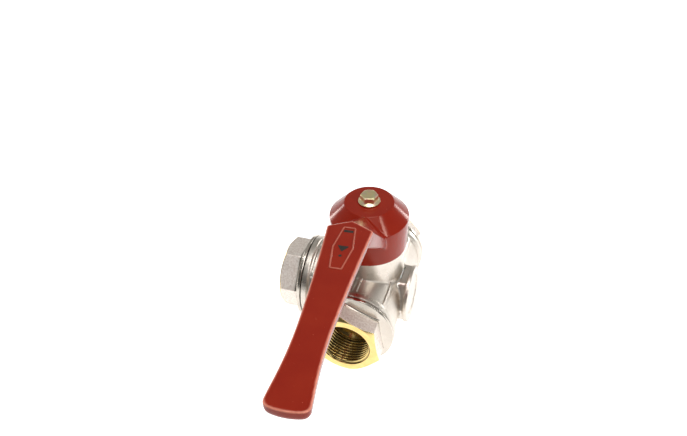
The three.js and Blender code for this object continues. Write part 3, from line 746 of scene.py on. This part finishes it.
def ptfe():
    it = Finish("ptfe", IOR=1.36, Subsurface_Weight=0.1, Subsurface_Scale=0.002)
    it.set("Base Color", it.between(it.noise(3, 3), rgba(0.88, 0.87, 0.83), rgba(0.80, 0.79, 0.74)))
    it.set("Roughness", it.range(it.noise(0.8, 3), 0.3, 0.7, 0.4, 0.6))
    return it.bump((it.noise(0.4, 3), 0.01)).material


def rubber():
    it = Finish("seal_rubber", IOR=1.5)
    it.set("Base Color", it.between(it.noise(1.5, 3), rgba(0.016, 0.016, 0.017), rgba(0.034, 0.033, 0.033)))
    it.set("Roughness", it.range(it.noise(0.7, 3), 0.3, 0.7, 0.5, 0.75))
    return it.bump((it.noise(0.3, 3), 0.012)).material


def floor_white():
    it = Finish("floor_white", IOR=1.3, Emission_Color=rgba(1, 1, 1))
    # the floor glows, a painted light that washes out cast shadows; it is painted darker grey and glows less
    # towards the front
    reach = it.node("ShaderNodeSeparateXYZ", {0: it.place}).outputs["Y"]
    lit = it.range(reach, -0.55, -0.1, 0.0, 1.0)
    it.set("Emission Strength", it.range(reach, -0.45, -0.1, 0.12, 0.7))
    pale = it.between(it.noise(60, 2), rgba(0.93, 0.93, 0.93), rgba(0.91, 0.91, 0.91))
    it.set("Base Color", it.between(lit, rgba(0.62, 0.62, 0.62), pale))
    it.set("Roughness", it.range(it.noise(20, 2), 0.3, 0.7, 0.75, 0.85))
    return it.material


FINISHES = {"nickel_plate": nickel(), "bare_brass": brass(), "red_paint": red_paint(),
            "mark_paint": mark_paint(), "yellow_zinc": yellow_zinc(), "ball_chrome": chrome(),
            "ptfe": ptfe(), "seal_rubber": rubber()}

# ---------------------------------------------------------------- building the pieces


def build_body():
    high = (BOSS_REACH, JOINT_REACH, GLAND_BOSS_TOP)
    low = (-JOINT_REACH, -JOINT_REACH, PAD_LEVEL)
    points, quads, normals = surface_net(valve_body, low, high, BODY_CELL)
    made = piece("forged_body", points, quads, normals, "valve", "nickel_plate", FINISHES["nickel_plate"],
                 ("valve_body",))
    radius = np.hypot(points[:, 0], points[:, 1])
    collar = np.maximum(np.abs(points[:, 0] * (points[:, 0] < 0)), np.abs(points[:, 1])) > COLLAR_START
    neck = (radius < NECK_RADIUS + 0.2) & (points[:, 2] > 21)
    machined = neck | (points[:, 0] > BOSS_REACH - 0.6) | collar
    mask(made, "machined", 0.3 * machined)
    mask(made, "blasted", np.full(len(points), 0.2))


def build_connectors():
    low, high = (-COLLAR_RADIUS, NOSE_REACH, -COLLAR_RADIUS), (COLLAR_RADIUS, PORT_REACH, COLLAR_RADIUS)
    points, quads, normals = surface_net(connector, low, high, CONNECTOR_CELL)
    lining, lining_quads = liner()
    radius = np.hypot(points[:, 0], points[:, 2])
    blasted = np.clip((points[:, 1] - SHOULDER_END - ROOT_FILLET / 2) / 0.5, 0, 1) * (radius > HEX_HALF - 1)
    for name, turn in PORT_TURNS.items():
        place = {"turn": turn, "clock": CLOCKING[name]}
        made = piece(f"{name}_connector_shell", points, quads, normals, "valve", "nickel_plate",
                     FINISHES["nickel_plate"], (f"connector_{name}",), **place)
        mask(made, "machined", (points[:, 1] < SHOULDER_END + 0.5).astype(float))
        mask(made, "blasted", blasted)
        mouth = piece(f"{name}_connector_mouth", lining, lining_quads, None, "valve", "bare_brass",
                      FINISHES["bare_brass"], **place)
        mouth.data.set_sharp_from_angle(angle=math.radians(75))
        # painted shade mask: darker deeper into the bore and at the thread's roots
        depth = (np.hypot(lining[:, 0], lining[:, 2]) - THREAD_MINOR) / (THREAD_MAJOR - THREAD_MINOR)
        deep = np.clip((THREAD_START + 4 - lining[:, 1]) / 5, 0, 0.95)
        mask(mouth, "painted_thread_shade", np.maximum(deep, np.clip(1.1 * depth - 0.15, 0, 0.7)) * (depth < 1.08))


def build_seats_and_seals():
    inner = FLOW_RADIUS + 0.35
    slant = math.sqrt(2) * SEAT_FACE
    face = slant - SEAT_LIP
    seat = [(SEAT_BACK, inner), (SEAT_BACK, SEAT_RADIUS - 0.2), (SEAT_BACK - 0.2, SEAT_RADIUS),
            (face + SEAT_RADIUS - SEAT_LIP - 0.7, SEAT_RADIUS), (face, SEAT_LIP + 0.7),
            (face, SEAT_LIP), (slant - inner, inner)]
    seat = seat[::-1]
    middle = (SEAL_POCKET_RADIUS + SOCKET_RADIUS - GAP) / 2
    ring = [(SEAL_ALONG + SEAL_WIRE * math.cos(turn), middle - SEAL_WIRE * math.sin(turn))
            for turn in np.arange(14) * 2 * math.pi / 14]
    for name, turn in {**PORT_TURNS, "blind": BLIND_TURN}.items():
        points, quads = lathe(seat, 96)
        made = piece(f"{name}_seat", points, quads, None, "valve", "ptfe", FINISHES["ptfe"],
                     (f"ball_seat_{name}",), turn=turn)
        made.data.set_sharp_from_angle(angle=math.radians(28))
    for name, turn in PORT_TURNS.items():
        points, quads = lathe(ring, 96)
        piece(f"{name}_joint_seal", points, quads, None, "valve", "seal_rubber", FINISHES["seal_rubber"],
              (f"connector_seal_{name}",), turn=turn)


def build_ball():
    reach = (BALL_RADIUS,) * 3
    points, quads, normals = surface_net(ball, [-r for r in reach], reach, BALL_CELL)
    piece("bored_ball", points, quads, normals, "handle", "ball_chrome", FINISHES["ball_chrome"], ("ball",))


def build_lever():
    low, high = (-RIM_RADIUS, -BLADE_TIP, SKIRT_BOTTOM), (RIM_RADIUS, RIM_RADIUS, BLADE_TOP)
    points, quads, normals = surface_net(lever, low, high, LEVER_CELL)
    made = piece("crank_lever", points, quads, normals, "handle", "red_paint", FINISHES["red_paint"],
                 ("lever",), turn=LEVER_TURN)
    x, y, z = points.T
    # edge mask: painted pink highlight along the blade's top edges
    mask(made, "edge", np.clip(1.4 - np.maximum(-blade_plan(x, y), blade_top(x) - z) / 0.6, 0, 1))
    low, high = (-BOLT_FLANGE_RADIUS,) * 2 + (BOLT_END,), (BOLT_FLANGE_RADIUS,) * 2 + (BOLT_TOP,)
    points, quads, normals = surface_net(bolt, low, high, BOLT_CELL)
    piece("flange_bolt", points, quads, normals, "handle", "yellow_zinc", FINISHES["yellow_zinc"],
          ("lever_bolt",), turn=BOLT_TURN)


def moulding(name, path, width, height, slot):
    """Half-round ridge along a closed path of (across, reach) points on top of the blade."""
    path = np.array(path, float)
    rows = []
    for share in np.linspace(0, 1, 9):
        offset = width / 2 * math.cos(math.pi * share)
        rise = height * math.sin(math.pi * share)
        ring = inset(path, offset)
        level = BLADE_TOP - BLADE_CROWN * np.abs(ring[:, 0]) + rise - 0.06
        rows.append(np.stack([ring[:, 0], -ring[:, 1], level], 1))
    rows.append(rows[-1] - (0, 0, 0.3))
    rows.append(rows[0] - (0, 0, 0.3))
    grid = np.stack(rows, 1)
    made = piece(name, grid.reshape(-1, 3), wrap(len(path), len(rows)), None, "handle", slot, FINISHES[slot],
                 turn=LEVER_TURN)
    made.data.set_sharp_from_angle(angle=math.radians(40))
    # painted highlight along the ridge's crest, through the edge mask
    crest = np.sin(np.pi * np.append(np.linspace(0, 1, 9), (0, 0)))
    mask(made, "edge", np.tile(0.4 * crest, len(path)))


def plate(name, shape, height, slot):
    """Thin flat fill of a convex shape of (across, reach) points on top of the blade."""
    shape = np.array(shape, float)
    rows = []
    for margin, rise in ((0.0, -0.3), (0.0, height - 0.06), (0.06, height)):
        ring = inset(shape, margin)
        level = BLADE_TOP - BLADE_CROWN * np.abs(ring[:, 0]) + rise
        rows.append(np.stack([ring[:, 0], -ring[:, 1], level], 1))
    points = np.concatenate(rows)
    count = len(shape)
    faces = [[row * count + i, row * count + (i + 1) % count, (row + 1) * count + (i + 1) % count,
              (row + 1) * count + i] for row in range(2) for i in range(count)]
    faces += [list(range(count))[::-1], list(range(2 * count, 3 * count))]
    mesh_faces = np.empty(len(faces), object)
    mesh_faces[:] = faces
    made = piece(name, points, mesh_faces, None, "handle", slot, FINISHES[slot], turn=LEVER_TURN)
    made.data.set_sharp_from_angle(angle=math.radians(30))


def rounded(shape, radius, steps=4):
    """Outline with each corner rounded."""
    shape = np.array(shape, float)
    points = []
    for before, corner, after in zip(np.roll(shape, 1, 0), shape, np.roll(shape, -1, 0)):
        start = corner + (before - corner) / np.linalg.norm(before - corner) * radius
        end = corner + (after - corner) / np.linalg.norm(after - corner) * radius
        for t in np.linspace(0, 1, steps + 1):
            points.append((1 - t) ** 2 * start + 2 * t * (1 - t) * corner + t ** 2 * end)
    return points


def build_marks():
    """Raised frame on the blade with a plain bar, arrow and dot in black."""
    frame_shape = [(-2.65, 42), (2.65, 42), (4.5, 56), (2.6, 69.8), (-2.6, 69.8), (-4.5, 56)]
    moulding("blade_frame", rounded(frame_shape, 0.5, 3), FRAME_WIDTH, FRAME_HEIGHT, "red_paint")
    bar = [(-2.2, 43.6), (2.2, 43.6), (2.2, 45.2), (-2.2, 45.2)]
    arrow = [(-2.7, 54.6), (2.7, 54.6), (0.0, 58.6)]
    dot = [(0.75 * math.cos(turn), 61.3 + 0.75 * math.sin(turn)) for turn in np.arange(16) * math.pi / 8]
    plate("blade_bar", rounded(bar, 0.25), FILL_HEIGHT, "mark_paint")
    plate("blade_arrow", rounded(arrow, 0.4), FILL_HEIGHT, "mark_paint")
    plate("blade_dot", dot, FILL_HEIGHT, "mark_paint")


def finish_cad_nodes():
    """Materials for the CAD parts that stay as they are."""
    slots = {part["node"]: part["material_slot"] for part in frame["record"]["subparts"]}
    for node in ("stem", "stem_o_ring_lower", "stem_o_ring_upper",
                 "thrust_washer", "packing_ring", "gland_nut"):
        materials = frame["nodes"][node].data.materials
        materials.clear()
        materials.append(FINISHES[slots[node]])


# ---------------------------------------------------------------- floor, light and camera


def build_floor():
    reach, rise, steps = 1.6, 0.25, 12
    bend = [(reach, 0.0)] + [(reach + rise * math.sin(t), rise - rise * math.cos(t))
                             for t in np.linspace(0, math.pi / 3, steps)]
    segments = 64
    points, faces = [(0, 0, 0)], []
    for radius, height in bend:
        points += [(radius * math.cos(t), radius * math.sin(t), height)
                   for t in np.arange(segments) * 2 * math.pi / segments]
    for i in range(segments):
        j = (i + 1) % segments
        faces.append((0, 1 + i, 1 + j))
        for row in range(len(bend) - 1):
            a = 1 + row * segments
            faces.append((a + i, a + segments + i, a + segments + j, a + j))
    mesh = bpy.data.meshes.new("floor")
    mesh.from_pydata(points, [], faces)
    mesh.shade_smooth()
    mesh.materials.append(floor_white())
    made = bpy.data.objects.new("floor", mesh)
    bpy.context.scene.collection.objects.link(made)


def softbox(name, azimuth, elevation, distance, size, watts):
    """Area light aimed at the valve; azimuth runs from -Y towards +X."""
    turn, rise = math.radians(azimuth), math.radians(elevation)
    aim = BALL_CENTRE + Vector((0, -0.02, 0.01))
    away = Vector((math.sin(turn) * math.cos(rise), -math.cos(turn) * math.cos(rise), math.sin(rise)))
    light = bpy.data.lights.new(name, "AREA")
    light.shape = "RECTANGLE"
    light.size, light.size_y = size
    light.energy = watts
    made = bpy.data.objects.new(name, light)
    made.location = aim + away * distance
    made.rotation_euler = away.to_track_quat("Z", "Y").to_euler()
    bpy.context.scene.collection.objects.link(made)


DARK_SIDE = (0.1, -0.96, 0.26)   # the room is darkest straight in front


def build_lights():
    softbox("key_top", 30, 80, 0.9, (0.6, 0.6), 4.0)
    softbox("low_left", -113, 4, 0.9, (0.16, 0.14), 0.75)
    softbox("low_right", 145, 4, 0.9, (0.16, 0.14), 0.75)
    softbox("front_right", 68, 37, 0.8, (0.08, 0.3), 1.0)
    softbox("front_fill", 20, 56, 0.9, (0.8, 0.3), 0.9)
    world = bpy.data.worlds.new("studio")
    world.use_nodes = True
    tree = world.node_tree
    direction = tree.nodes.new("ShaderNodeTexCoord")
    facing = tree.nodes.new("ShaderNodeVectorMath")
    facing.operation = "DOT_PRODUCT"
    facing.inputs[1].default_value = DARK_SIDE
    ramp = tree.nodes.new("ShaderNodeValToRGB")
    ramp.color_ramp.elements[0].position = 0.1
    ramp.color_ramp.elements[0].color = rgba(0.36, 0.352, 0.335)
    ramp.color_ramp.elements[1].position = 0.85
    ramp.color_ramp.elements[1].color = rgba(0.10, 0.097, 0.092)
    tree.links.new(direction.outputs["Generated"], facing.inputs[0])
    tree.links.new(facing.outputs["Value"], ramp.inputs[0])
    tree.links.new(ramp.outputs[0], tree.nodes["Background"].inputs["Color"])
    bpy.context.scene.world = world


def build_camera():
    data = bpy.data.cameras.new("camera")
    data.lens = CAMERA_LENS
    data.clip_start = 0.01
    camera = bpy.data.objects.new("camera", data)
    camera.location = BALL_CENTRE + CAMERA_PLACE * MM
    camera.rotation_euler = [math.radians(angle) for angle in CAMERA_ANGLES]
    bpy.context.scene.collection.objects.link(camera)
    bpy.context.scene.camera = camera


build_body()
build_connectors()
build_seats_and_seals()
build_ball()
build_lever()
build_marks()
finish_cad_nodes()
build_floor()
build_lights()
build_camera()
bpy.context.scene.view_settings.view_transform = "Standard"


def corners(box):
    return [[float(value) for value in corner] for corner in box]
